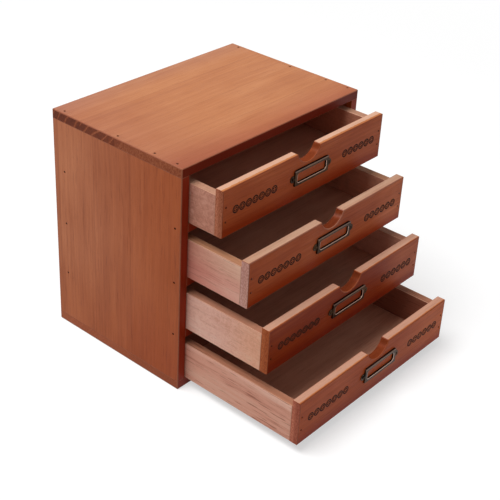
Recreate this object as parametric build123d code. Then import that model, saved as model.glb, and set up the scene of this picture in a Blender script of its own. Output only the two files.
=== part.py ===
"""A small wooden cabinet of four stacked drawers for buttons and other small parts.

Millimetres, +Z up. The origin is the centre of the carcass underside, -Y is the front
and +X is to the right of someone facing the drawers. All boards are square edged, butt
jointed and held by sunk nails. The drawers are alike, and each is drawn part-way out.
Drawer 1 and divider 1 are the top ones.
"""

import os

from build123d import *

# ---- Carcass ----
WIDTH = 260.0
DEPTH = 175.0
BOARD = 9.5  # top, bottom, sides and dividers
BAY_HEIGHT = 49.4  # clear height between two shelves
BACK_PLY = 4.0
REBATE_LIP = 5.0  # wood left outside the rebate that holds the back panel
BACK_FIT = 0.25  # clearance round the edge of the back panel

# ---- Drawers ----
DRAWER_PULLS = (40.0, 74.0, 102.0, 143.0)  # how far out drawers 1 to 4 stand
SIDE_GAP = 1.0  # beside each drawer
RUNNING_GAP = 0.1  # under each drawer
HEADROOM = 1.1  # over each drawer front
REAR_GAP = 3.0  # behind a closed drawer
FRONT_BOARD = 9.0
SIDE_BOARD = 9.0
REAR_BOARD = 9.0
SIDE_STEP = 7.0  # top of the front down to the top of the sides
BOTTOM_PLY = 3.0
BOTTOM_RISE = 4.0  # lower edge of the drawer up to its bottom panel
GROOVE_DEPTH = 4.0
GROOVE_FIT = 0.2  # clearance above and around the bottom panel
NOTCH_RADIUS = 18.0  # finger notch in the top edge of the front
NOTCH_DEPTH = 12.0
NOTCH_SHIFT = 1.6  # notch's middle to the right of the front's

# ---- Label holder ----
HOLDER_SHIFTS = (5.2, 4.2, 0.0, 6.2)  # holder's middle to the right of each front's, fitted by hand
HOLDER_WIDTH = 51.0
HOLDER_HEIGHT = 16.0
HOLDER_DROP = 3.6  # notch down to the holder
WINDOW_WIDTH = 44.0
WINDOW_HEIGHT = 10.0
WINDOW_CORNER = 3.0
CARD_SLOT = 1.0  # thickness of card that the holder takes
CARD_COVER = 2.0  # how much of a card is hidden each side of the window
LIP = 0.8  # metal in front of the card
EAR_HALF_HEIGHT = 3.6
EAR_METAL = 0.8
EAR_HOLE_RADIUS = 0.9
SCREW_HEAD_RADIUS = 1.6
SCREW_TO_FRAME = 0.4  # clearance from the head to the end of the frame
SCREW_HEAD_HEIGHT = 1.0
SCREW_HEAD_ROUNDING = 0.6
SCREW_SLOT_WIDTH = 0.5
SCREW_SLOT_DEPTH = 0.4
SCREW_SHANK_RADIUS = 0.7
SCREW_LENGTH = 6.0  # under the head

# ---- Nail pattern ----
FASTENER_FIT = 0.04  # radial clearance of every nail and screw in its hole
NAIL_SINK = 0.5  # surface of the wood down to the nail's head
TIP_ROOM = 0.5  # hole left beyond the tip of a nail or screw
LID_NAILS_FROM_FRONT = (10.5, 39.0)  # top and bottom board to the sides
LID_NAIL_FROM_BACK = 13.0
SHELF_NAIL_FROM_FRONT = 7.5  # sides to the dividers
SHELF_NAIL_FROM_BACK = 15.0
BACK_NAIL_COLUMNS = 3
BACK_NAIL_ROWS = 4
BACK_NAIL_INSET = 30.0  # outside corner to the nearest nail of the back panel
DRAWER_NAIL_FROM_EDGE = 15.5  # lower edge of a drawer up to the lower nail
DRAWER_NAIL_FROM_TOP = 10.7  # top of its sides down to the upper nail

# ---- Sizes that follow ----
DRAWER_COUNT = len(DRAWER_PULLS)
HEIGHT = DRAWER_COUNT * BAY_HEIGHT + (DRAWER_COUNT + 1) * BOARD
FRONT_Y = -DEPTH / 2
BACK_Y = DEPTH / 2
BACK_PANEL_Y = BACK_Y - BACK_PLY
INSIDE_X = WIDTH / 2 - BOARD
REBATE_X = WIDTH / 2 - REBATE_LIP
REBATE_Z = (REBATE_LIP, HEIGHT - REBATE_LIP)
DRAWER_X = INSIDE_X - SIDE_GAP
DRAWER_INSIDE_X = DRAWER_X - SIDE_BOARD
DRAWER_LENGTH = BACK_PANEL_Y - REAR_GAP - FRONT_Y
FRONT_HEIGHT = BAY_HEIGHT - RUNNING_GAP - HEADROOM
SIDE_HEIGHT = FRONT_HEIGHT - SIDE_STEP
DRAWER_NAIL_HEIGHTS = (DRAWER_NAIL_FROM_EDGE, SIDE_HEIGHT - DRAWER_NAIL_FROM_TOP)
HOLDER_MIDDLE = FRONT_HEIGHT - NOTCH_DEPTH - HOLDER_DROP - HOLDER_HEIGHT / 2
HOLDER_DEPTH = CARD_SLOT + LIP
EAR_MIDDLE_X = HOLDER_WIDTH / 2 + SCREW_TO_FRAME + SCREW_HEAD_RADIUS

OUT_LEFT, OUT_RIGHT = (-1, 0, 0), (1, 0, 0)
OUT_FRONT, OUT_BACK = (0, -1, 0), (0, 1, 0)
OUT_BELOW, OUT_ABOVE = (0, 0, -1), (0, 0, 1)


def block(x, y, z):
    """A box given by its low and high limit along each axis."""
    sizes = [high - low for low, high in (x, y, z)]
    return Pos(x[0], y[0], z[0]) * Box(*sizes, align=(Align.MIN,) * 3)


def rod(place, radius, top, bottom):
    """A cylinder along a place's axis, between two depths below the place's surface."""
    upright = Cylinder(radius, bottom - top, align=(Align.CENTER, Align.CENTER, Align.MIN))
    return place.location * Pos(0, 0, -bottom) * upright


def surface(x, y, z, outward):
    """The place where a fastener enters the wood, facing outward."""
    return Plane(origin=(x, y, z), z_dir=outward)


class Nail:
    """A round flat-headed nail, sunk below the surface of the wood."""

    def __init__(self, length, shank_radius, head_radius, head_height):
        self.length = length
        self.shank_radius = shank_radius
        self.head_radius = head_radius
        self.seat = NAIL_SINK + head_height

    def solid(self, place):
        head = rod(place, self.head_radius, NAIL_SINK, self.seat)
        return head + rod(place, self.shank_radius, self.seat, self.length)

    def hole(self, place):
        counterbore = rod(place, self.head_radius + FASTENER_FIT, -TIP_ROOM, self.seat)
        bore = rod(place, self.shank_radius + FASTENER_FIT, self.seat, self.length + TIP_ROOM)
        return counterbore + bore


CASE_NAIL = Nail(length=24.0, shank_radius=0.7, head_radius=1.2, head_height=0.8)
DRAWER_NAIL = Nail(length=20.0, shank_radius=0.6, head_radius=1.05, head_height=0.7)
PANEL_NAIL = Nail(length=13.0, shank_radius=0.5, head_radius=0.9, head_height=0.6)


def drilled(board, nail, places):
    """The board with a hole for the nail at each place."""
    return board - [nail.hole(place) for place in places]


def nail_group(nail, places):
    """One separate nail at each place, kept together as a group."""
    return Compound(children=[nail.solid(place) for place in places])


def spread(low, high, count):
    """Evenly spaced values from low to high."""
    return [low + (high - low) * step / (count - 1) for step in range(count)]


# ---- Carcass ----


def lid_nail_places(z, outward):
    """Nails through the top or the bottom board into the ends of the sides."""
    depths = [FRONT_Y + setback for setback in LID_NAILS_FROM_FRONT]
    depths += [0.0, BACK_Y - LID_NAIL_FROM_BACK]
    middle_of_side = WIDTH / 2 - BOARD / 2
    return [surface(x, y, z, outward) for x in (-middle_of_side, middle_of_side) for y in depths]


def shelf_nail_places(x, outward):
    """Nails through one side into the ends of the dividers."""
    depths = (FRONT_Y + SHELF_NAIL_FROM_FRONT, BACK_Y - SHELF_NAIL_FROM_BACK)
    heights = [divider_underside(number) + BOARD / 2 for number in range(1, DRAWER_COUNT)]
    return [surface(x, y, z, outward) for z in heights for y in depths]


def back_nail_places():
    """Nails through the rim of the back panel into the rebates of the four outer boards."""
    middle_of_rebate = (BOARD + REBATE_LIP) / 2
    side_x = WIDTH / 2 - middle_of_rebate
    rows = spread(BACK_NAIL_INSET, HEIGHT - BACK_NAIL_INSET, BACK_NAIL_ROWS)
    columns = spread(BACK_NAIL_INSET - WIDTH / 2, WIDTH / 2 - BACK_NAIL_INSET, BACK_NAIL_COLUMNS)
    points = [(x, z) for x in (-side_x, side_x) for z in rows]
    points += [(x, z) for z in (middle_of_rebate, HEIGHT - middle_of_rebate) for x in columns]
    return [surface(x, BACK_Y, z, OUT_BACK) for x, z in points]


def bay_floor(number):
    """Height of the shelf under a drawer, counting drawers from the top."""
    return BOARD + (DRAWER_COUNT - number) * (BAY_HEIGHT + BOARD)


def divider_underside(number):
    """Height of the underside of the divider below a drawer, counting from the top."""
    return bay_floor(number) - BOARD


def back_rebate():
    """Room for the back panel, cut out of the inner rear edges of the four outer boards."""
    return block((-REBATE_X, REBATE_X), (BACK_PANEL_Y, BACK_Y), REBATE_Z)


def carcass_parts():
    top_nails = lid_nail_places(HEIGHT, OUT_ABOVE)
    bottom_nails = lid_nail_places(0.0, OUT_BELOW)
    left_nails = shelf_nail_places(-WIDTH / 2, OUT_LEFT)
    right_nails = shelf_nail_places(WIDTH / 2, OUT_RIGHT)
    back_nails = back_nail_places()
    case_nails = top_nails + bottom_nails + left_nails + right_nails
    across = (-WIDTH / 2, WIDTH / 2)
    along = (FRONT_Y, BACK_Y)
    upright = (BOARD, HEIGHT - BOARD)
    outer_boards = {
        "top_board": block(across, along, (HEIGHT - BOARD, HEIGHT)),
        "bottom_board": block(across, along, (0.0, BOARD)),
        "left_side": block((-WIDTH / 2, -INSIDE_X), along, upright),
        "right_side": block((INSIDE_X, WIDTH / 2), along, upright),
    }
    parts = {}
    for name, board in outer_boards.items():
        rebated = drilled(board - back_rebate(), PANEL_NAIL, back_nails)
        parts[name] = drilled(rebated, CASE_NAIL, case_nails)
    for number in range(1, DRAWER_COUNT):
        underside = divider_underside(number)
        shelf = block((-INSIDE_X, INSIDE_X), (FRONT_Y, BACK_PANEL_Y), (underside, underside + BOARD))
        parts[f"divider_{number}"] = drilled(shelf, CASE_NAIL, case_nails)
    panel_z = (REBATE_LIP + BACK_FIT, HEIGHT - REBATE_LIP - BACK_FIT)
    panel = block((BACK_FIT - REBATE_X, REBATE_X - BACK_FIT), (BACK_PANEL_Y, BACK_Y), panel_z)
    parts["back_panel"] = drilled(panel, PANEL_NAIL, back_nails)
    parts["top_board_nails"] = nail_group(CASE_NAIL, top_nails)
    parts["bottom_board_nails"] = nail_group(CASE_NAIL, bottom_nails)
    parts["left_side_nails"] = nail_group(CASE_NAIL, left_nails)
    parts["right_side_nails"] = nail_group(CASE_NAIL, right_nails)
    parts["back_panel_nails"] = nail_group(PANEL_NAIL, back_nails)
    return parts


# ---- One drawer, drawn with its front face at y = 0 and its lower edge at z = 0 ----


def front_nail_places():
    """Nails through the front into the ends of the two sides."""
    middle_of_side = DRAWER_X - SIDE_BOARD / 2
    ends = (-middle_of_side, middle_of_side)
    return [surface(x, 0.0, z, OUT_FRONT) for x in ends for z in DRAWER_NAIL_HEIGHTS]


def rear_nail_places():
    """Nails through the two sides into the ends of the rear board."""
    y = DRAWER_LENGTH - REAR_BOARD / 2
    left = [surface(-DRAWER_X, y, z, OUT_LEFT) for z in DRAWER_NAIL_HEIGHTS]
    right = [surface(DRAWER_X, y, z, OUT_RIGHT) for z in DRAWER_NAIL_HEIGHTS]
    return left + right


def bottom_panel(fit):
    """The bottom panel for fit 0, or its grooves when grown by a fit above and around."""
    x = DRAWER_INSIDE_X + GROOVE_DEPTH - GROOVE_FIT + fit
    y_low = FRONT_BOARD - GROOVE_DEPTH + GROOVE_FIT - fit
    y_high = DRAWER_LENGTH - REAR_BOARD + GROOVE_DEPTH - GROOVE_FIT + fit
    return block((-x, x), (y_low, y_high), (BOTTOM_RISE, BOTTOM_RISE + BOTTOM_PLY + fit))


def finger_notch():
    """A round bite out of the front's top edge, close to its middle."""
    middle = surface(NOTCH_SHIFT, 0.0, FRONT_HEIGHT - NOTCH_DEPTH + NOTCH_RADIUS, OUT_FRONT)
    return rod(middle, NOTCH_RADIUS, 0.0, FRONT_BOARD)


def screw_places(holder_x):
    """Where the two screws enter the front, on the outer face of the holder's ears."""
    ears = (holder_x - EAR_MIDDLE_X, holder_x + EAR_MIDDLE_X)
    return [surface(x, -EAR_METAL, HOLDER_MIDDLE, OUT_FRONT) for x in ears]


def label_screw(place):
    """A round-headed wood screw with a slot across its head."""
    head = rod(place, SCREW_HEAD_RADIUS, -SCREW_HEAD_HEIGHT, 0.0)
    crown = head.edges().sort_by(Axis.Y)[0]
    head = fillet(crown, SCREW_HEAD_ROUNDING)
    slot = Box(2 * SCREW_HEAD_RADIUS, SCREW_SLOT_WIDTH, 2 * SCREW_SLOT_DEPTH)
    head -= place.location * Pos(0, 0, SCREW_HEAD_HEIGHT) * slot
    return head + rod(place, SCREW_SHANK_RADIUS, 0.0, SCREW_LENGTH)


def holder_plate(half_width, half_height, thickness):
    """A plate against the middle of the front, as high as the holder is."""
    heights = (HOLDER_MIDDLE - half_height, HOLDER_MIDDLE + half_height)
    return block((-half_width, half_width), (-thickness, 0.0), heights)


def label_holder():
    """A pressed metal frame that takes a card from above, with a screw ear at each end."""
    frame = holder_plate(HOLDER_WIDTH / 2, HOLDER_HEIGHT / 2, HOLDER_DEPTH)
    window = holder_plate(WINDOW_WIDTH / 2, WINDOW_HEIGHT / 2, HOLDER_DEPTH)
    window = fillet(window.edges().filter_by(Axis.Y), WINDOW_CORNER)
    card_half_width = WINDOW_WIDTH / 2 + CARD_COVER
    card_bottom = HOLDER_MIDDLE - WINDOW_HEIGHT / 2 - CARD_COVER
    card_heights = (card_bottom, HOLDER_MIDDLE + HOLDER_HEIGHT / 2)
    card_slot = block((-card_half_width, card_half_width), (-CARD_SLOT, 0.0), card_heights)
    ears = holder_plate(EAR_MIDDLE_X, EAR_HALF_HEIGHT, EAR_METAL)
    ears += [rod(place, EAR_HALF_HEIGHT, 0.0, EAR_METAL) for place in screw_places(0.0)]
    holes = [rod(place, EAR_HOLE_RADIUS, 0.0, EAR_METAL) for place in screw_places(0.0)]
    return frame + ears - window - card_slot - holes


def drawer_parts(holder_x):
    """The parts of a drawer whose label holder is that far to the right of its middle."""
    screws = screw_places(holder_x)
    front_nails = front_nail_places()
    rear_nails = rear_nail_places()
    nails = front_nails + rear_nails
    front = block((-DRAWER_X, DRAWER_X), (0.0, FRONT_BOARD), (0.0, FRONT_HEIGHT)) - finger_notch()
    pilot_radius = SCREW_SHANK_RADIUS + FASTENER_FIT
    front -= [rod(place, pilot_radius, 0.0, SCREW_LENGTH + TIP_ROOM) for place in screws]
    side_y = (FRONT_BOARD, DRAWER_LENGTH)
    left = block((-DRAWER_X, -DRAWER_INSIDE_X), side_y, (0.0, SIDE_HEIGHT))
    right = block((DRAWER_INSIDE_X, DRAWER_X), side_y, (0.0, SIDE_HEIGHT))
    rear_y = (DRAWER_LENGTH - REAR_BOARD, DRAWER_LENGTH)
    rear = block((-DRAWER_INSIDE_X, DRAWER_INSIDE_X), rear_y, (0.0, SIDE_HEIGHT))
    boards = {"front": front, "left_side": left, "right_side": right, "back": rear}
    groove = bottom_panel(GROOVE_FIT)
    parts = {name: drilled(board - groove, DRAWER_NAIL, nails) for name, board in boards.items()}
    parts["bottom"] = bottom_panel(0.0)
    parts["label_holder"] = Pos(holder_x, 0, 0) * label_holder()
    parts["label_screws"] = Compound(children=[label_screw(place) for place in screws])
    parts["nails"] = nail_group(DRAWER_NAIL, nails)
    return parts


def main():
    parts = carcass_parts()
    for number, (pull, holder_x) in enumerate(zip(DRAWER_PULLS, HOLDER_SHIFTS), start=1):
        place = Pos(0, FRONT_Y - pull, bay_floor(number) + RUNNING_GAP)
        for name, shape in drawer_parts(holder_x).items():
            parts[f"drawer_{number}_{name}"] = place * shape
    os.makedirs("parts", exist_ok=True)
    for name, shape in parts.items():
        export_step(shape, f"parts/{name}.step")


if __name__ == "__main__":
    main()
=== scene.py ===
import math

import bmesh
import bpy
from mathutils import Matrix, Vector


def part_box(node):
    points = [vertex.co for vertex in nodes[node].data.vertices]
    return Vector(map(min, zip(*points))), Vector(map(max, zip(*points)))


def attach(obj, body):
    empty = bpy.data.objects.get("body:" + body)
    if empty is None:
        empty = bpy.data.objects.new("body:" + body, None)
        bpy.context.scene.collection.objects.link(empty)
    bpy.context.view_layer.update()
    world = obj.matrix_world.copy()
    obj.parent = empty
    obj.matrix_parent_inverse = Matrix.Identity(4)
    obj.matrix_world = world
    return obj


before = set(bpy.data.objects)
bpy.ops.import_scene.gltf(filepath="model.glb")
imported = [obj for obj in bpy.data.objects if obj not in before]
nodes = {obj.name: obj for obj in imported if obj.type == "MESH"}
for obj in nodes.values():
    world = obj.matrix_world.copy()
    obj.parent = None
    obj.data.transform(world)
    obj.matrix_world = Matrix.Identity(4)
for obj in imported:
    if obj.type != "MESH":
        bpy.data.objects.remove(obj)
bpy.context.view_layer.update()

# ---------------------------------------------------------------- camera and light, in metres and degrees

CAMERA_PLACE = (-0.7631, -0.6928, 0.7014)
CAMERA_AZIMUTH, CAMERA_ELEVATION, CAMERA_LEAN = -50.36, 30.21, 3.28
CAMERA_LENS, CAMERA_SHIFT = 80.73, -0.05

FLOOR_RADIUS, FLOOR_STEPS = 9.0, 96
FLOOR_GAP = 0.0002
FLOOR_SEEN = 0.50  # how much light the floor gives back where it is seen
FLOOR_SEEN_GLOW = 0.54  # what takes the lit floor up to white
FLOOR_WHITE = (0.5, 1.3)  # how far from the object the floor turns plain white, from where to where
FLOOR_BOUNCE = 0.30  # how much of it reaches the object
AMBIENT = 0.26

SOFTBOX_SIZE = 2.6
SOFTBOX_POWER = 190.0
SOFTBOX_PLACE = (-1.5, 0.8, 4.2)
FILL_SIZE = 1.0
FILL_POWER = 2.0
FILL_PLACE = (0.5, -2.0, 1.0)
AIM = (0.0, -0.03, 0.1)

# ---------------------------------------------------------------- colours, as 0 to 255 screen values

TOP_TONES = ((200, 134, 88), (185, 117, 74), (164, 97, 62))
SIDE_TONES = ((212, 132, 90), (194, 115, 77), (172, 96, 62))
SHELF_TONES = ((196, 112, 68), (176, 96, 58), (150, 76, 44))
DEEP_TONES = ((158, 48, 13), (138, 37, 9))
DEEPER_TONES = ((124, 34, 8), (104, 26, 6))
END_TONES = ((184, 106, 68), (136, 62, 28), (94, 36, 10))
LOW_END_TONES = ((188, 104, 64), (166, 82, 42), (140, 62, 30))
ARRIS_TONES = ((166, 96, 64), (142, 74, 47))
FRONT_TONES = ((211, 110, 58), (189, 87, 39), (160, 65, 26))
# painted shade in a drawer front's notch, on its walls and floor
NOTCH_SHADE_TONES = ((140, 64, 30), (100, 38, 14))
LIP_TONES = ((206, 136, 84), (176, 104, 60))
# painted shade on the wood in a label holder's card slot and under its window's walls
HOLDER_SHADE_TONES = ((34, 12, 5), (24, 8, 3))
FRONT_ARRIS_TONES = ((160, 78, 38), (134, 58, 25))
RUBBED_ARRIS_TONES = ((168, 106, 80), (138, 78, 54))
BARE_ARRIS_TONES = ((216, 166, 140), (190, 136, 112))
PLY_TONES = ((178, 124, 94), (160, 104, 78), (134, 84, 64))
BOTTOM_TONES = ((222, 168, 140), (202, 148, 122), (172, 121, 99))
# the worn tone is real rubbed brass on the screws, and on the label holders a painted highlight too
BRONZE_DARK, BRONZE_MID, BRONZE_WORN_AND_HIGHLIGHT = (32, 21, 13), (76, 55, 38), (206, 174, 158)
NAIL_DARK, NAIL_LIGHT = (34, 18, 12), (62, 36, 25)
INK_DARK, INK_FADED = (22, 13, 8), (44, 26, 17)

# What these leave of the colour under them, as shares of red, green and blue light.
JOINT_SHADE = (0.5, 0.4, 0.35)
PORE_SHADE = (0.32, 0.22, 0.17)
DASH_SHADE = (0.45, 0.30, 0.25)
# painted shade on the walls of a label holder's window
WALL_SHADE = (0.08, 0.05, 0.04)

# ---------------------------------------------------------------- the grain of the wood

ALONG = {"X": (0, 1, 2), "Y": (1, 2, 0), "Z": (2, 0, 1)}  # the grain's axis, then the two across it
DRIFT = 0.002  # how far the figure sways sideways, in metres
RING_WANDER = 1.2  # how far a growth ring strays, in widths of a ring
LATE_SHARE = 0.22  # the share of each growth ring in which it turns dark
STAVE_JUMP = (0.41, 0.13, 0.29)  # how far apart in the wood two staves are cut, at most
GLUE_LINE, GLUE_STRENGTH = 0.0006, 0.35
WASH_RAGGED, SOAK_RAGGED, BLOCK_RAGGED = 0.008, 0.003, 0.02  # how uneven their edges are, in metres
END_MIDDLE, END_BLOTCHES = 0.36, 0.3  # where in its tones the end grain lies, and how far its blotches swing
BLOCK_DEPTH, LINE_DEPTH = 1.2, 0.2  # how far a ring's block darkens the end, and its lines lighten it
GLOSS_BLOTCHES = 0.3  # how far the blotches swing the roughness
FIBRE_RISE, RING_RISE = 0.6, 0.15  # how far these stand out, where a pore sinks by 1

# How often each noise repeats in a metre along the grain and across it, one way and the other.
SWAY = (6, 11, 11)
WANDER = (5, 22, 22)
BANDS = (1.5, 22, 22)
STREAKS = (5, 60, 60)
LINES = (13, 330, 330)
FIBRES = (38, 1300, 1300)
DASHES = (44, 760, 760)
PORES = (190, 2600, 2600)
FLECKS = (300, 1000, 430)
BLOTCHES, MOTTLE, RAGGED = 15, 210, 260  # these are even in all directions
PATINA, RUBBING, PITS = 160, 240, 900  # and these are the bronze's

# From where to where each of these comes in, as its noise or its place in a ring goes from 0 to 1.
BLOCK_START, BLOCK_STOP = (0.04, 0.20), (0.88, 1.0)
FLECK_SPAN, PORE_SPAN, DASH_SPAN = (0.36, 0.64), (0.60, 0.74), (0.60, 0.70)
GLOSS_SPAN, CLOUD_SPAN, RUBBED_SPAN = (0.2, 0.9), (0.3, 0.7), (0.45, 0.75)

FACING = (0.55, 0.85)  # from where to where a surface comes to count as looking one way
EDGE_BLUR = 0.0003  # half the width of the change from one tone to the next on a board
WOOD_BUMP, BRONZE_BUMP, PLAIN_BUMP = (0.00025, 0.3), (0.0001, 0.15), (0.0001, 0.2)  # depth and strength
FRONTWARD, BACKWARD, UPWARD = (0, -1, 0), (0, 1, 0), (0, 0, 1)
RIGHTWARD, LEFTWARD = (1, 0, 0), (-1, 0, 0)


# ---------------------------------------------------------------- objects, node trees and materials

def add_object(name, data):
    made = bpy.data.objects.new(name, data)
    bpy.context.scene.collection.objects.link(made)
    return made


def add_mesh(name, mesh):
    """The finished mesh as an object in the scene."""
    data = bpy.data.meshes.new(name)
    mesh.to_mesh(data)
    mesh.free()
    return add_object(name, data)


def paint(node, *materials):
    node.data.materials.clear()
    for material in materials:
        node.data.materials.append(material)


def light(colour):
    """A 0 to 255 screen colour as linear light with full opacity."""
    shares = [c / 255 for c in colour]
    return [s / 12.92 if s <= 0.04045 else ((s + 0.055) / 1.055) ** 2.4 for s in shares] + [1.0]


class Graph:
    """A node tree, with short calls that add its nodes and join them."""

    def __init__(self, tree):
        self.tree = tree

    def feed(self, socket, value):
        if isinstance(value, bpy.types.NodeSocket):
            self.tree.links.new(value, socket)
        else:
            socket.default_value = value

    def node(self, kind, settings=None, **inputs):
        node = self.tree.nodes.new(kind)
        for key, value in (settings or {}).items():
            setattr(node, key, value)
        for key, value in inputs.items():
            self.feed(node.inputs[key], value)
        return node

    def in_order(self, kind, settings, *values):
        """A node whose inputs are given in their order."""
        node = self.node(kind, settings)
        for socket, value in zip(node.inputs, values):
            self.feed(socket, value)
        return node

    def math(self, operation, *values):
        return self.in_order("ShaderNodeMath", {"operation": operation}, *values).outputs[0]

    def vector(self, operation, *values):
        return self.in_order("ShaderNodeVectorMath", {"operation": operation}, *values).outputs

    def split(self, vector):
        return self.node("ShaderNodeSeparateXYZ", Vector=vector).outputs


class Surface(Graph):
    """A procedural material."""

    def __init__(self, name, **finish):
        self.material = bpy.data.materials.new(name)
        self.material.use_nodes = True
        super().__init__(self.material.node_tree)
        self.shader = self.tree.nodes["Principled BSDF"]
        for socket, value in finish.items():
            self.shader.inputs[socket.replace("_", " ")].default_value = value

    def times(self, first, second):
        return self.math("MULTIPLY", first, second)

    def total(self, *values):
        result = values[0]
        for value in values[1:]:
            result = self.math("ADD", result, value)
        return result

    def noise(self, place, scale, detail=2.0, roughness=0.5, swirl=0.0):
        return self.node("ShaderNodeTexNoise", Vector=place, Scale=scale, Detail=detail,
                         Roughness=roughness, Distortion=swirl).outputs[0]

    def grained(self, spot, repeats, detail=2.0, roughness=0.5):
        """Noise drawn out along the grain, from the spot's places along and across it."""
        parts = [self.times(value, repeat) for value, repeat in zip(spot, repeats)]
        return self.noise(self.join(*parts), 1.0, detail, roughness)

    def join(self, x, y, z):
        return self.node("ShaderNodeCombineXYZ", X=x, Y=y, Z=z).outputs[0]

    def span(self, value, low, high, to_low=0.0, to_high=1.0):
        """A smooth change from one value to another as the first goes from low to high."""
        node = self.node("ShaderNodeMapRange", {"interpolation_type": "SMOOTHSTEP"}, Value=value)
        for key, limit in (("From Min", low), ("From Max", high), ("To Min", to_low), ("To Max", to_high)):
            self.feed(node.inputs[key], limit)
        return node.outputs[0]

    def swing(self, value, amount):
        """A 0 to 1 value as a swing of that amount either side of nothing."""
        return self.times(self.math("SUBTRACT", value, 0.5), 2 * amount)

    def ramp(self, factor, *colours):
        """The colours in even steps as the factor goes from 0 to 1."""
        node = self.node("ShaderNodeValToRGB", Fac=factor)
        stops = node.color_ramp.elements
        stops[0].position, stops[1].position = 0.0, 1.0
        for step in range(1, len(colours) - 1):
            stops.new(step / (len(colours) - 1))
        for stop, colour in zip(stops, colours):
            stop.color = light(colour)
        return node.outputs[0]

    def blend(self, factor, first, second, mode="MIX"):
        node = self.node("ShaderNodeMix", {"data_type": "RGBA", "blend_type": mode})
        for socket, value in zip((node.inputs[0], node.inputs[6], node.inputs[7]), (factor, first, second)):
            self.feed(socket, value)
        return node.outputs[2]

    def shade(self, factor, colour, left):
        """The colour with only those shares of its light left where the factor is 1."""
        return self.blend(factor, colour, [*left, 1.0], "MULTIPLY")

    def place(self, shift=(0, 0, 0)):
        """Where a point is on the object, moved so that no two boards show the same figure."""
        return self.vector("ADD", self.node("ShaderNodeTexCoord").outputs["Object"], shift)["Vector"]

    def facing(self, direction):
        """How far the surface looks that way: 1 where it does, and -1 where it looks away."""
        normal = self.node("ShaderNodeTexCoord").outputs["Normal"]
        return self.vector("DOT_PRODUCT", normal, direction)["Value"]

    def finish(self, colour, height, depth, strength, roughness=None):
        """Sets the colour, a bump that deep from the height, and the roughness where one is given."""
        self.feed(self.shader.inputs["Base Color"], colour)
        if roughness is not None:
            self.feed(self.shader.inputs["Roughness"], roughness)
        bump = self.node("ShaderNodeBump", Height=height, Distance=depth, Strength=strength)
        self.feed(self.shader.inputs["Normal"], bump.outputs[0])
        return self.material


def glued_staves(s, where, place, axis, width, offset, swing):
    """Cuts each stave's figure from another place in the wood.
    Gives that place, how pale each stave is, and where two of them join."""
    strips = s.math("DIVIDE", s.math("ADD", where[axis], offset), width)
    number = s.math("FLOOR", strips)
    stave = s.node("ShaderNodeTexWhiteNoise", {"noise_dimensions": "1D"}, W=number).outputs["Value"]
    place = s.vector("MULTIPLY_ADD", s.join(stave, stave, stave), STAVE_JUMP, place)["Vector"]
    off_joint = s.math("ABSOLUTE", s.math("SUBTRACT", s.math("FRACT", strips), 0.5))
    joint = s.span(off_joint, 0.5 - GLUE_LINE / width, 0.5, 0.0, GLUE_STRENGTH)
    return place, s.math("ADD", s.swing(stave, swing), 0.5), joint


def growth_rings(s, spot, pith, width):
    """How far through each year's ring a place is, and how dark its late wood is there."""
    wander = s.swing(s.grained(spot, WANDER), RING_WANDER * width)
    squares = [s.math("POWER", s.math("SUBTRACT", part, middle), 2.0)
               for part, middle in zip(spot[1:], pith)]
    radius = s.math("SQRT", s.total(*squares))
    year = s.math("FRACT", s.math("DIVIDE", s.total(radius, wander), width))
    ring = s.math("MINIMUM", s.math("DIVIDE", year, 1 - LATE_SHARE),
                  s.math("DIVIDE", s.math("SUBTRACT", 1.0, year), LATE_SHARE))
    return year, ring


def end_grain(s, spot, where, year, blotch, tones, flecks, blocks=None, soak=None):
    """The colour of the wood's end: the terms are those of ends in wood()."""
    fleck = s.grained(spot, FLECKS, detail=3.0, roughness=0.6)
    figure = [END_MIDDLE, s.swing(s.span(fleck, *FLECK_SPAN), flecks), s.swing(blotch, END_BLOTCHES)]
    if blocks:
        stand_out, axis, out, full = blocks
        here = s.span(s.total(where[axis], s.swing(blotch, BLOCK_RAGGED)), out, full)
        block = s.times(s.span(year, *BLOCK_START), s.span(year, *BLOCK_STOP, 1.0, 0.0))
        grown = s.times(here, s.math("SUBTRACT", s.times(block, BLOCK_DEPTH), LINE_DEPTH))
        figure.append(s.times(grown, stand_out))
    colour = s.ramp(s.total(*figure), *tones)
    if soak:
        axis, start, full, left = soak
        reach = s.total(where[axis], s.swing(fleck, SOAK_RAGGED))
        colour = s.shade(s.span(reach, start, full), colour, left)
    return colour


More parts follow.
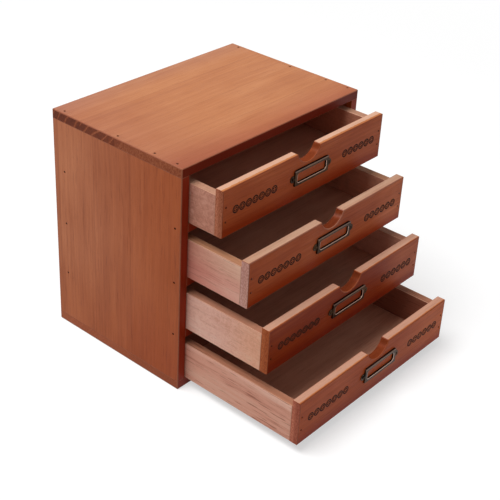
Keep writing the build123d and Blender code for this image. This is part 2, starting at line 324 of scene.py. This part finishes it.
def wood(name, grain, shift, tones, pith=(0.28, 0.23), rings=(0.009, 0.12), bands=0.15, streaks=0.3,
         lines=0.25, fibres=0.18, blotches=0.3, mottle=0.0, dashes=0.2, pores=0.3, staves=None,
         washes=(), ends=None, faces=(), cut_roughness=0.0, gloss=(0.42, 0.56), specular=0.18):
    """Wood with growth rings, of a width and a strength, round a far pith. Bands, streaks, lines, fibres,
    dashes and pores run along the grain and blotches and mottle lie all over, each by its strength.
    staves glues the board up from strips, as (axis, width, offset, swing of their tones).
    washes tint the colour along an axis, most of them as painted sheen and painted shade, as (axis, where it
    starts, where it is full, what it leaves of the colour).
    ends is for what looks along the grain: its tones, the strength of its flecks, the blocks of its
    rings, as (strength, axis, where they fade in, where they are full), and a soak of stain, with the
    terms of a wash.
    faces gives other tones to what looks one way, as (direction, tones, limits), where each limit is
    (axis, low, high, how ragged its edge is), and cut_roughness is the least roughness there.
    gloss is the roughness at its least and at its most."""
    s = Surface(name, Specular_IOR_Level=specular)
    where = s.split(s.place())
    place, stave, joint = s.place(shift), 0.5, None
    if staves:
        place, stave, joint = glued_staves(s, where, place, *staves)
    parts = s.split(place)
    spot = [parts[axis] for axis in ALONG[grain]]
    sway = s.swing(s.grained(spot, SWAY, detail=1.0), DRIFT)
    spot = [spot[0], s.math("ADD", spot[1], sway), s.math("ADD", spot[2], sway)]

    ring_width, ring_strength = rings
    year, ring = growth_rings(s, spot, pith, ring_width)
    fibre, blotch = s.grained(spot, FIBRES), s.noise(place, BLOTCHES)
    figure = s.total(stave, s.swing(ring, ring_strength / 2),
                     s.swing(s.grained(spot, STREAKS, detail=3.0), streaks),
                     s.swing(s.grained(spot, LINES, detail=3.0), lines),
                     s.swing(s.grained(spot, BANDS, detail=1.0), bands),
                     s.swing(fibre, fibres), s.swing(blotch, blotches))
    if mottle:
        mottling = s.noise(place, MOTTLE, detail=4.0, roughness=0.65, swirl=1.2)
        figure = s.total(figure, s.swing(mottling, mottle))
    colour = s.ramp(figure, *tones)
    if joint:
        colour = s.shade(joint, colour, JOINT_SHADE)
    for axis, start, full, left in washes:
        reach = s.total(where[axis], s.swing(blotch, WASH_RAGGED))
        colour = s.shade(s.span(reach, start, full), colour, left)
    if ends:
        lengthwise = [float(axis == ALONG[grain][0]) for axis in range(3)]
        on_end = s.span(s.math("ABSOLUTE", s.facing(lengthwise)), *FACING)
        colour = s.blend(on_end, colour, end_grain(s, spot, where, year, blotch, **ends))

    roughness = s.span(s.total(fibre, s.swing(blotch, GLOSS_BLOTCHES)), *GLOSS_SPAN, *gloss)
    for direction, face_tones, limits in faces:
        seen = s.span(s.facing(direction), *FACING)
        for axis, low, high, ragged in limits:
            level = where[axis]
            if ragged:
                level = s.total(level, s.swing(s.noise(place, RAGGED, detail=3.0), ragged))
            seen = s.times(seen, s.span(level, low - EDGE_BLUR, low + EDGE_BLUR))
            seen = s.times(seen, s.span(level, high - EDGE_BLUR, high + EDGE_BLUR, 1.0, 0.0))
        colour = s.blend(seen, colour, s.ramp(figure, *face_tones))
        if cut_roughness:
            roughness = s.math("MAXIMUM", roughness, s.times(seen, cut_roughness))
    pore = s.span(s.grained(spot, PORES), *PORE_SPAN, 0.0, pores)
    dash = s.span(s.grained(spot, DASHES, detail=1.0), *DASH_SPAN, 0.0, dashes)
    colour = s.shade(dash, s.shade(pore, colour, PORE_SHADE), DASH_SHADE)
    height = s.total(s.times(fibre, FIBRE_RISE), s.times(s.math("ADD", pore, dash), -1.0),
                     s.times(ring, RING_RISE))
    return s.finish(colour, height, *WOOD_BUMP, roughness)


def holder_highlight_and_shade(s, place, middle_x, middle_z, top):
    """Where a label holder shows its rubbing as a painted highlight, and where the walls of its window are
    painted black as shade.
    The highlights are a rib under and beside the window and a thin strip under the holder's top."""
    x, _, z = s.split(place)
    past = [s.math("MAXIMUM", s.math("SUBTRACT", s.math("ABSOLUTE", s.math("SUBTRACT", value, middle)),
                                     half - WINDOW_CORNER), 0.0)
            for value, middle, half in ((x, middle_x, WINDOW_HALF_WIDTH), (z, middle_z, WINDOW_HALF_HEIGHT))]
    squares = [s.math("POWER", distance, 2.0) for distance in past]
    off = s.math("SUBTRACT", s.math("SQRT", s.total(*squares)), WINDOW_CORNER)
    ahead = s.facing(FRONTWARD)
    rib = s.span(off, RIB_OUT, RIB_OUT + RIB_FADE, s.span(ahead, *FACE_TURN, 1.0, RIB_SHARE), 0.0)
    upper_edge = middle_z + WINDOW_HALF_HEIGHT
    rib = s.times(rib, s.span(z, upper_edge - RIB_END[0], upper_edge - RIB_END[1], 1.0, RIB_END_SHARE))
    strip = s.span(z, top - STRIP_DROP - STRIP_FADE, top - STRIP_DROP, 0.0, STRIP_SHARE)
    wall_in_shade = s.times(s.span(ahead, *WALL_TURN, 1.0, 0.0), s.span(off, *WALL_EDGE, 1.0, 0.0))
    highlight = s.times(s.math("MAXIMUM", rib, strip), s.math("SUBTRACT", 1.0, wall_in_shade))
    return highlight, wall_in_shade


def bronze(name, wear, rough, holder=None):
    """Dark patina over brass in soft clouds, rubbed bright in places: wear says how much of it.
    rough is the roughness in the dark clouds and in the pale ones.
    holder keeps the rubbing to painted highlights along a label holder's edges and paints shade on its
    window's walls: its window's middle x, middle z, its top's z."""
    s = Surface(name, Metallic=1.0)
    place = s.place()
    cloud = s.noise(place, PATINA, detail=4.0)
    colour = s.ramp(s.span(cloud, *CLOUD_SPAN), BRONZE_DARK, BRONZE_MID)
    rubbed = s.span(s.total(s.noise(place, RUBBING, detail=3.0), wear), *RUBBED_SPAN)
    if holder:
        # a holder shows its rubbing only as painted highlights, and gets painted shade on its window's walls
        highlight, wall_in_shade = holder_highlight_and_shade(s, place, *holder)
        rubbed = s.times(rubbed, highlight)
        colour = s.shade(wall_in_shade, colour, WALL_SHADE)
    colour = s.blend(rubbed, colour, light(BRONZE_WORN_AND_HIGHLIGHT))
    return s.finish(colour, s.noise(place, PITS), *BRONZE_BUMP, s.span(cloud, *CLOUD_SPAN, *rough))


def speckled(name, dark, pale, scale, **finish):
    """A plain surface in two close tones, clouded at that scale."""
    s = Surface(name, **finish)
    cloud = s.noise(s.place(), scale, detail=3.0, roughness=0.6)
    return s.finish(s.ramp(s.span(cloud, *CLOUD_SPAN), dark, pale), cloud, *PLAIN_BUMP)


# ---------------------------------------------------------------- rounded arrises on the boards

MERGE_DISTANCE, ON_PLANE = 1e-6, 1e-4
SHALLOWEST_BEND = math.radians(30)


def arris_rule(name, planes=(), needed=0, soft=1.0, shortest=0.001):
    """Geometry nodes that choose the edges to round: outward corners longer than the shortest.
    An edge on as many of the planes, (axis, level), as needed is rounded in full, others by a soft share."""
    tree = bpy.data.node_groups.new(name, "GeometryNodeTree")
    for way in ("INPUT", "OUTPUT"):
        tree.interface.new_socket("Geometry", in_out=way, socket_type="NodeSocketGeometry")
    graph = Graph(tree)
    start, end = graph.node("NodeGroupInput"), graph.node("NodeGroupOutput")
    whole = graph.node("GeometryNodeMergeByDistance", Geometry=start.outputs[0], Distance=MERGE_DISTANCE)
    bend = graph.node("GeometryNodeInputMeshEdgeAngle").outputs["Signed Angle"]
    ends = graph.node("GeometryNodeInputMeshEdgeVertices").outputs
    length = graph.vector("DISTANCE", ends["Position 1"], ends["Position 2"])["Value"]
    outward = graph.math("GREATER_THAN", bend, SHALLOWEST_BEND)
    long_enough = graph.math("GREATER_THAN", length, shortest)
    parts = graph.split(graph.node("GeometryNodeInputPosition").outputs[0])
    found = 0.0
    for axis, level in planes:
        off = graph.math("SUBTRACT", parts[axis], level)
        found = graph.math("ADD", graph.math("COMPARE", off, 0.0, ON_PLANE), found)
    full = graph.math("GREATER_THAN", found, needed - 0.5)
    share = graph.math("MAXIMUM", full, soft)
    weight = graph.math("MULTIPLY", graph.math("MULTIPLY", outward, long_enough), share)
    stored = graph.node("GeometryNodeStoreNamedAttribute", {"data_type": "FLOAT", "domain": "EDGE"},
                        Geometry=whole.outputs[0], Name="bevel_weight_edge", Value=weight)
    graph.feed(end.inputs[0], stored.outputs[0])
    return tree


def round_arrises(board, rule, radius, face, arris, segments=3):
    """Rounds the board's chosen edges and gives them a material of their own."""
    board.modifiers.new("arris_choice", "NODES").node_group = rule
    bevel = board.modifiers.new("arris", "BEVEL")
    bevel.limit_method = "WEIGHT"
    bevel.width = radius
    bevel.segments = segments
    bevel.use_clamp_overlap = False
    bevel.harden_normals = True
    bevel.material = 1  # the slot of the arris material
    paint(board, face, arris)


# ---------------------------------------------------------------- the carcass

CASE_ARRIS = 0.0009
SOFT_SHARE = 0.3  # how much of the rounding the edges inside the carcass or behind a front get
CASE_STAVES = dict(bands=0.25, streaks=0.38, lines=0.42, dashes=0.25,
                   # the sides' washes are painted shade, darker toward the front and toward the bottom
                   washes=[(1, 0.060, -0.080, (0.81, 0.57, 0.34)), (2, 0.120, 0.020, (0.87, 0.72, 0.55))])

case_looks = {
    "top_board": dict(
        grain="X", shift=(0.02, 0.31, 0.07), tones=TOP_TONES, pith=(-0.62, -0.38),
        staves=(1, 0.048, 0.0, 0.1), lines=0.18, dashes=0.12, bands=0.3, specular=0.15,
        # washes: darker toward the front edge and toward the left end, and painted sheen, paler and bluer
        # toward the back
        washes=[(1, -0.040, -0.092, (0.76, 0.55, 0.54)), (0, -0.010, -0.135, (0.86, 0.80, 0.92)),
                (1, 0.055, 0.085, (0.94, 1.0, 1.25))],
        ends=dict(tones=END_TONES, flecks=0.14, blocks=(0.42, 1, -0.025, 0.015))),
    "bottom_board": dict(
        grain="X", shift=(0.45, 0.11, 0.33), tones=SHELF_TONES, pith=(0.42, 0.60),
        ends=dict(tones=LOW_END_TONES, flecks=0.16, blocks=(0.1, 1, -0.02, 0.05),
                  soak=(1, 0.03, -0.088, (0.74, 0.62, 0.46)))),
    "left_side": dict(grain="Z", shift=(0.21, 0.04, 0.52), tones=SIDE_TONES, pith=(0.52, 0.30),
                      staves=(1, 0.051, 0.021, 0.1), **CASE_STAVES),
    "right_side": dict(grain="Z", shift=(0.63, 0.25, 0.12), tones=SIDE_TONES, pith=(0.92, 0.62),
                       staves=(1, 0.051, 0.008, 0.1), **CASE_STAVES),
    "divider_1": dict(grain="X", shift=(0.15, 0.72, 0.41), tones=SHELF_TONES, pith=(1.0, 0.9)),
    "divider_2": dict(grain="X", shift=(0.77, 0.42, 0.25), tones=SHELF_TONES, pith=(0.7, 0.7)),
    "divider_3": dict(grain="X", shift=(0.52, 0.91, 0.63), tones=SHELF_TONES, pith=(1.2, 0.95)),
}

corners = [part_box(name) for name in case_looks]
case_low = [min(low[axis] for low, high in corners) for axis in range(3)]
case_high = [max(high[axis] for low, high in corners) for axis in range(3)]
case_planes = [(axis, level[axis]) for axis in range(3) for level in (case_low, case_high)]
case_rule = arris_rule("case_arrises", case_planes, needed=2, soft=SOFT_SHARE)
case_arris_wood = wood("stained_arris", "Y", (0.31, 0.17, 0.05), ARRIS_TONES, specular=0.3)
for name, look in case_looks.items():
    deep = DEEPER_TONES if name == "top_board" else DEEP_TONES
    face = wood("stained_" + name, faces=[(FRONTWARD, deep, [])], **look)
    round_arrises(nodes[name], case_rule, CASE_ARRIS, face, case_arris_wood)

back_wood = wood("plywood_back", "Z", (0.3, 0.8, 0.2), PLY_TONES, pith=(0.9, 1.1), rings=(0.02, 0.12),
                 streaks=0.4, lines=0.4, dashes=0.45, pores=0.5, specular=0.15)
paint(nodes["back_panel"], back_wood)

# ---------------------------------------------------------------- the drawers

FRONT_ARRIS, SIDE_ARRIS, HOLDER_ARRIS = 0.0009, 0.0005, 0.0003
SMALLEST_METAL_EDGE = 0.0001
NOTCH_HALF, NOTCH_WAYS = 0.020, (RIGHTWARD, LEFTWARD, UPWARD)
TOP_EDGE = 0.0006  # how far under its top the front counts as its top edge
LIP_RAGGED = 0.0009
SOAK_REACH = (0.0062, 0.0036)  # how far behind its face a front's end is darkened, from where to full
LOWER_SHADE, LOWER_SHADE_TINT = (0.017, 0.002), (0.68, 0.37, 0.16)  # painted shade above the front's lower edge: where it starts and where it is full, above it, and what it leaves
FAINT_BLOCKS = (0.1, 2, 0.0, 1.0)  # the growth rings hardly show in a front's ends
OWN_FIGURE = 0.37  # how far apart in the wood two drawers are cut

# The label holder, from the middle of its window, and the painted shade on the wood round it.
WINDOW_HALF_WIDTH, WINDOW_HALF_HEIGHT, WINDOW_CORNER = 0.022, 0.005, 0.003
RIB_OUT, RIB_FADE, RIB_SHARE = 0.0003, 0.0006, 0.5  # the painted highlight of a rib round the window
RIB_END, RIB_END_SHARE = (0.0012, 0.0002), 0.15  # where it fades under the window's upper edge, to what
STRIP_DROP, STRIP_FADE, STRIP_SHARE = 0.0009, 0.0005, 0.18  # the painted highlight of a strip along the holder's top
FACE_TURN, WALL_TURN = (0.85, 0.98), (0.05, 0.3)  # how squarely the holder's face and walls look ahead
WALL_EDGE = (0.0001, 0.0003)  # how far from the window's edge its walls end
# how far that painted shade reaches: half its width, its lower edge under the window's middle, and how far
# under and over the holder's top
HOLDER_SHADE_HALF_WIDTH, HOLDER_SHADE_LOW = 0.024, 0.0075
HOLDER_SHADE_UNDER_TOP, HOLDER_SHADE_OVER_TOP = 0.0014, 0.0006
SILL_RISE, JAMB_REACH = 0.0004, 0.0005  # how far the painted shade comes into the window

# What is each drawer's own. On the front: lip is how far the stain runs over the top edge, sanded the bare
# wood behind that, end and flecks the ends of the wood, soak how those darken behind the face, and washes
# the tints of the face, mostly painted sheen and painted shade. On the box: outer, inner and top are the
# tones of its faces, inner darker as painted shade inside the box, figure the grain of its sides, and
# side_washes the tints of its left side.
drawer_looks = {
    1: dict(lip=0.0030, sanded=((226, 182, 156), (204, 153, 126)), arris="stained",
            # washes: painted sheen, lighter and bluer toward the front's right end
            washes=[(0, 0.04, 0.11, (1.16, 1.3, 1.6))],
            end=((212, 136, 104), (168, 92, 62), (122, 58, 36)), flecks=0.2, soak=(0.76, 0.68, 0.60),
            outer=((228, 170, 148), (204, 140, 118), (172, 106, 86)),
            inner=((190, 130, 106), (162, 104, 80)), top=((196, 148, 122), (168, 120, 96)),
            side_washes=[],
            figure=dict(mottle=0.75, streaks=0.15, lines=0.15, fibres=0.1)),
    2: dict(lip=0.0002, sanded=((206, 168, 142), (180, 132, 106)), arris="rubbed",
            # washes: painted sheen, lighter and bluer toward the front's right end
            washes=[(0, 0.04, 0.11, (1.35, 1.7, 2.3))],
            end=((246, 204, 192), (196, 138, 124), (140, 80, 70)), flecks=0.12, soak=(1.0, 0.98, 0.95),
            outer=((252, 216, 188), (242, 192, 166), (218, 156, 134)),
            inner=((210, 152, 126), (182, 122, 98)), top=((194, 142, 108), (152, 100, 72)),
            # side_washes: painted shadow toward the back, where the carcass shades the side, and darker and
            # rosier toward the bottom
            side_washes=[(1, -0.150, -0.085, (0.82, 0.62, 0.62)), (2, 0.164, 0.142, (0.93, 0.76, 0.80))],
            figure=dict(mottle=0.2, streaks=0.5, lines=0.3, dashes=0.3)),
    3: dict(lip=0.0013, sanded=((208, 164, 140), (182, 130, 106)), arris="stained",
            # washes: painted shade, darker over the front and lifting toward its right end
            washes=[(0, 0.095, 0.045, (0.61, 0.38, 0.15))],
            end=((204, 116, 66), (166, 82, 42), (128, 54, 22)), flecks=0.2, soak=(0.86, 0.74, 0.60),
            outer=((254, 214, 196), (246, 192, 172), (220, 154, 132)),
            inner=((226, 172, 148), (200, 140, 118)), top=((184, 130, 104), (154, 102, 80)),
            side_washes=[(1, -0.120, -0.180, (0.97, 0.86, 0.72))],
            figure=dict(mottle=0.5, streaks=0.3, lines=0.15, fibres=0.12)),
    4: dict(lip=0.0018, sanded=((212, 164, 140), (188, 134, 110)), arris="stained",
            # washes: a warmer tint over the front, then painted sheen, lighter and bluer toward its right
            # end
            washes=[(0, 0.2, 0.15, (1.06, 0.94, 0.64)), (0, 0.04, 0.11, (1.35, 1.6, 1.9))],
            end=((226, 146, 116), (184, 100, 76), (138, 66, 48)), flecks=0.2, soak=(0.70, 0.58, 0.54),
            outer=((254, 210, 188), (246, 188, 166), (206, 138, 118)),
            inner=((156, 100, 80), (130, 78, 60)), top=((184, 128, 100), (148, 94, 72)),
            side_washes=[(2, 0.0485, 0.0435, (0.88, 0.78, 0.74))],
            figure=dict(mottle=0.1, streaks=0.36, lines=0.6, dashes=0.7)),
}

front_arris_woods = {name: wood("front_arris_" + name, "X", (0.1, 0.2, 0.3), tones, specular=0.2)
                     for name, tones in (("stained", FRONT_ARRIS_TONES), ("rubbed", RUBBED_ARRIS_TONES))}
bare_arris_wood = wood("bare_arris", "Y", (0.6, 0.2, 0.1), BARE_ARRIS_TONES, specular=0.15)
screw_bronze = bronze("aged_bronze", wear=-0.2, rough=(0.38, 0.6))
bare_rule = arris_rule("bare_arrises")
metal_rule = arris_rule("metal_arrises", shortest=SMALLEST_METAL_EDGE)


def holder_shade_limits(middle_x, middle_z, top):
    """Where the wood round a holder gets painted shade: in the card slot, and at the window's sill and right
    jamb.
    """
    width = (0, middle_x - HOLDER_SHADE_HALF_WIDTH, middle_x + HOLDER_SHADE_HALF_WIDTH, 0)
    slot = (2, top - HOLDER_SHADE_UNDER_TOP, top + HOLDER_SHADE_OVER_TOP, 0)
    sill = (2, middle_z - HOLDER_SHADE_LOW, middle_z - WINDOW_HALF_HEIGHT + SILL_RISE, 0)
    jamb = (0, middle_x + WINDOW_HALF_WIDTH - JAMB_REACH, middle_x + HOLDER_SHADE_HALF_WIDTH, 0)
    return [width, slot], [width, sill], [jamb, (2, middle_z - HOLDER_SHADE_LOW, top, 0)]


def dress_front(drawer, number, look, holder):
    """Stained wood with notch walls painted dark as shade, painted shade round the holder, and a sanded top
    behind a stained lip.
    """
    front = nodes[drawer + "_front"]
    low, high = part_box(front.name)
    edge = high.z - TOP_EDGE
    notch_limits = [(0, -NOTCH_HALF, NOTCH_HALF, 0), (2, low.z, edge, 0)]
    # the notch's walls and floor get painted shade
    faces = [*((way, NOTCH_SHADE_TONES, notch_limits) for way in NOTCH_WAYS),
             (UPWARD, LIP_TONES, [(2, edge, 1.0, 0)]),
             (UPWARD, look["sanded"], [(2, edge, 1.0, 0), (1, low.y + look["lip"], 1.0, LIP_RAGGED)]),
             (BACKWARD, look["outer"], []),
             # painted shade on the wood in the holder's card slot and along its window's sill and right jamb
             *((FRONTWARD, HOLDER_SHADE_TONES, limits) for limits in holder_shade_limits(*holder))]
    soak = (1, low.y + SOAK_REACH[0], low.y + SOAK_REACH[1], look["soak"])
    face = wood(drawer + "_front_wood", "X", (OWN_FIGURE * number, 0.2, 0.15 * number), FRONT_TONES,
                pith=(0.9, 0.5), blotches=0.5, streaks=0.4, lines=0.35,
                faces=faces, cut_roughness=0.8, gloss=(0.30, 0.46), specular=0.09,
                ends=dict(tones=look["end"], flecks=look["flecks"], blocks=FAINT_BLOCKS, soak=soak),
                # painted shade along the front's lower edge, then the drawer's own washes
                washes=[(2, low.z + LOWER_SHADE[0], low.z + LOWER_SHADE[1], LOWER_SHADE_TINT), *look["washes"]])
    rule = arris_rule(drawer + "_front_arrises", [(1, low.y)], needed=1, soft=SOFT_SHARE)
    round_arrises(front, rule, FRONT_ARRIS, face, front_arris_woods[look["arris"]])


def dress_box(drawer, number, look):
    """Bare wood for the sides and the back, and plywood for the bottom."""
    offset = OWN_FIGURE * number
    bare = dict(gloss=(0.55, 0.75), specular=0.12)
    sides = (("left", 0.0, RIGHTWARD, look["side_washes"]), ("right", 0.5, LEFTWARD, []))
    for side, turn, inward, washes in sides:
        face = wood(f"{drawer}_{side}_wood", "Y", (0.0, offset + turn, 0.0), look["outer"],
                    pith=(0.42, 0.25), rings=(0.006, 0.08), washes=washes,
                    ends=dict(tones=look["outer"], flecks=0.15),
                    # the inside faces take the darker inner tones, painted shade inside the box
                    faces=[(inward, look["inner"], []), (UPWARD, look["top"], [])],
                    **bare, **look["figure"])
        round_arrises(nodes[f"{drawer}_{side}_side"], bare_rule, SIDE_ARRIS, face, bare_arris_wood)
    # the back takes the inner tones too, painted shade inside the box
    face = wood(drawer + "_back_wood", "X", (offset, 0.6, 0.4), look["inner"],
                ends=dict(tones=look["inner"], flecks=0.15), **bare)
    round_arrises(nodes[drawer + "_back"], bare_rule, SIDE_ARRIS, face, bare_arris_wood)
    face = wood(drawer + "_bottom_wood", "X", (offset, 0.9, 0.1), BOTTOM_TONES, pith=(1.5, 0.6),
                rings=(0.02, 0.12), streaks=0.4, specular=0.12)
    paint(nodes[drawer + "_bottom"], face)


def dress_holder(drawer, holder):
    """Bronze for the label holder, rubbed along its edges as painted highlights, with painted shade on its
    window's walls, and a duller one for its screws.
    """
    worn_and_lit = bronze(drawer + "_bronze_wear_and_painted_light", wear=0.45, rough=(0.3, 0.5), holder=holder)
    round_arrises(nodes[drawer + "_label_holder"], metal_rule, HOLDER_ARRIS, worn_and_lit, worn_and_lit, segments=2)
    paint(nodes[drawer + "_label_screws"], screw_bronze)


for number, look in drawer_looks.items():
    drawer = f"drawer_{number}"
    low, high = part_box(drawer + "_label_holder")
    holder = ((low.x + high.x) / 2, (low.z + high.z) / 2, high.z)
    dress_front(drawer, number, look, holder)
    dress_box(drawer, number, look)
    dress_holder(drawer, holder)

nail_steel = speckled("dark_nail_steel", NAIL_DARK, NAIL_LIGHT, scale=900,
                      Metallic=0.15, Roughness=0.6, Specular_IOR_Level=0.06)
for name in nodes:
    if name.endswith("_nails"):
        paint(nodes[name], nail_steel)

# ---------------------------------------------------------------- the printed row of buttons on each front

BUTTON_RADIUS, BUTTON_PITCH = 0.0042, 0.0089
RIM_LINE, INNER_LINE, INNER_SHARE = 0.0012, 0.0005, 0.58
HOLE_RADIUS, HOLE_SPREAD = 0.00065, 0.00105
INK_THICKNESS = 0.00004
RING_STEPS, HOLE_STEPS = 28, 12
BUTTON_ROWS = ((0.0176, 7), (0.1786, 6))  # the first one's middle from the front's left end, how many
ROW_HEIGHT = 0.0243


def round_corners(mesh, middle, radius, steps):
    """Corners evenly round the middle, in the plane of the front."""
    turns = [2 * math.pi * step / steps for step in range(steps)]
    return [mesh.verts.new(middle + Vector((radius * math.cos(turn), 0, radius * math.sin(turn))))
            for turn in turns]


def ring_faces(mesh, middle, radius, line):
    """A flat ring of ink round the middle, as wide as the line."""
    outer = round_corners(mesh, middle, radius, RING_STEPS)
    inner = round_corners(mesh, middle, radius - line, RING_STEPS)
    for step in range(RING_STEPS):
        after = (step + 1) % RING_STEPS
        mesh.faces.new((outer[step], outer[after], inner[after], inner[step]))


def print_buttons(name, corner):
    """The ink of every button printed on one front, as one thin piece on its face."""
    mesh = bmesh.new()
    for start, count in BUTTON_ROWS:
        for index in range(count):
            middle = corner + Vector((start + index * BUTTON_PITCH, -INK_THICKNESS, ROW_HEIGHT))
            ring_faces(mesh, middle, BUTTON_RADIUS, RIM_LINE)
            ring_faces(mesh, middle, BUTTON_RADIUS * INNER_SHARE, INNER_LINE)
            for across in (-1, 1):
                for up in (-1, 1):
                    hole = middle + HOLE_SPREAD * Vector((across, 0, up))
                    mesh.faces.new(round_corners(mesh, hole, HOLE_RADIUS, HOLE_STEPS))
    bmesh.ops.recalc_face_normals(mesh, faces=mesh.faces)
    row = add_mesh(name, mesh)
    solid = row.modifiers.new("ink", "SOLIDIFY")
    solid.thickness = INK_THICKNESS
    solid.offset = 0.0
    return row


ink = speckled("printed_ink", INK_DARK, INK_FADED, scale=700, Roughness=0.7, Specular_IOR_Level=0.08)
for number in drawer_looks:
    row = print_buttons(f"drawer_{number}_button_print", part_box(f"drawer_{number}_front")[0])
    paint(row, ink)
    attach(row, f"drawer_{number}")

# ---------------------------------------------------------------- floor, light and camera

def looked_at(graph):
    """1 for what the camera, a reflection or a view through glass sees, 0 for the light on the object."""
    path = graph.node("ShaderNodeLightPath").outputs
    seen = graph.math("MAXIMUM", path["Is Camera Ray"], path["Is Glossy Ray"])
    return graph.math("MAXIMUM", seen, path["Is Transmission Ray"])


def floor_material():
    """Pale, and white where it is seen lit; the object gets less light back from it."""
    s = Surface("pale_floor")
    pale, glow, dull, white = (s.node("ShaderNode" + kind)
                               for kind in ("BsdfDiffuse", "Emission", "BsdfDiffuse", "Emission"))
    pale.inputs["Color"].default_value = [FLOOR_SEEN] * 3 + [1]
    glow.inputs["Strength"].default_value = FLOOR_SEEN_GLOW
    dull.inputs["Color"].default_value = [FLOOR_BOUNCE] * 3 + [1]
    away = s.vector("LENGTH", s.place())["Value"]
    lit = s.in_order("ShaderNodeAddShader", {}, pale.outputs[0], glow.outputs[0]).outputs[0]
    far = s.span(away, *FLOOR_WHITE)
    faded = s.in_order("ShaderNodeMixShader", {}, far, lit, white.outputs[0]).outputs[0]
    whole = s.in_order("ShaderNodeMixShader", {}, looked_at(s), dull.outputs[0], faded).outputs[0]
    s.feed(s.tree.nodes["Material Output"].inputs["Surface"], whole)
    s.tree.nodes.remove(s.shader)
    return s.material


def make_floor():
    mesh = bmesh.new()
    bmesh.ops.create_circle(mesh, cap_ends=True, segments=FLOOR_STEPS, radius=FLOOR_RADIUS)
    floor = add_mesh("floor", mesh)
    floor.location.z = -FLOOR_GAP
    paint(floor, floor_material())


def make_world():
    """White where it is seen, and an even pale light on the object."""
    world = bpy.data.worlds.new("studio")
    bpy.context.scene.world = world
    world.use_nodes = True
    graph = Graph(world.node_tree)
    background = graph.tree.nodes["Background"]
    graph.feed(background.inputs["Color"], (1, 1, 1, 1))
    graph.feed(background.inputs["Strength"], graph.math("MAXIMUM", looked_at(graph), AMBIENT))


def softbox(name, place, size, power):
    lamp = bpy.data.lights.new(name, "AREA")
    lamp.size = size
    lamp.energy = power
    box = add_object(name, lamp)
    box.location = place
    box.rotation_euler = (Vector(AIM) - Vector(place)).to_track_quat("-Z", "Y").to_euler()


def make_camera():
    lens = bpy.data.cameras.new("camera")
    lens.lens, lens.shift_y = CAMERA_LENS, CAMERA_SHIFT
    camera = add_object("camera", lens)
    turn = Matrix.Rotation(math.radians(CAMERA_AZIMUTH), 4, "Z")
    tilt = Matrix.Rotation(math.radians(90 - CAMERA_ELEVATION), 4, "X")
    lean = Matrix.Rotation(math.radians(CAMERA_LEAN), 4, "Z")
    camera.matrix_world = Matrix.Translation(CAMERA_PLACE) @ turn @ tilt @ lean
    bpy.context.scene.camera = camera


make_floor()
make_world()
softbox("softbox", SOFTBOX_PLACE, SOFTBOX_SIZE, SOFTBOX_POWER)
softbox("front_fill", FILL_PLACE, FILL_SIZE, FILL_POWER)
make_camera()
bpy.context.scene.view_settings.view_transform = "Standard"
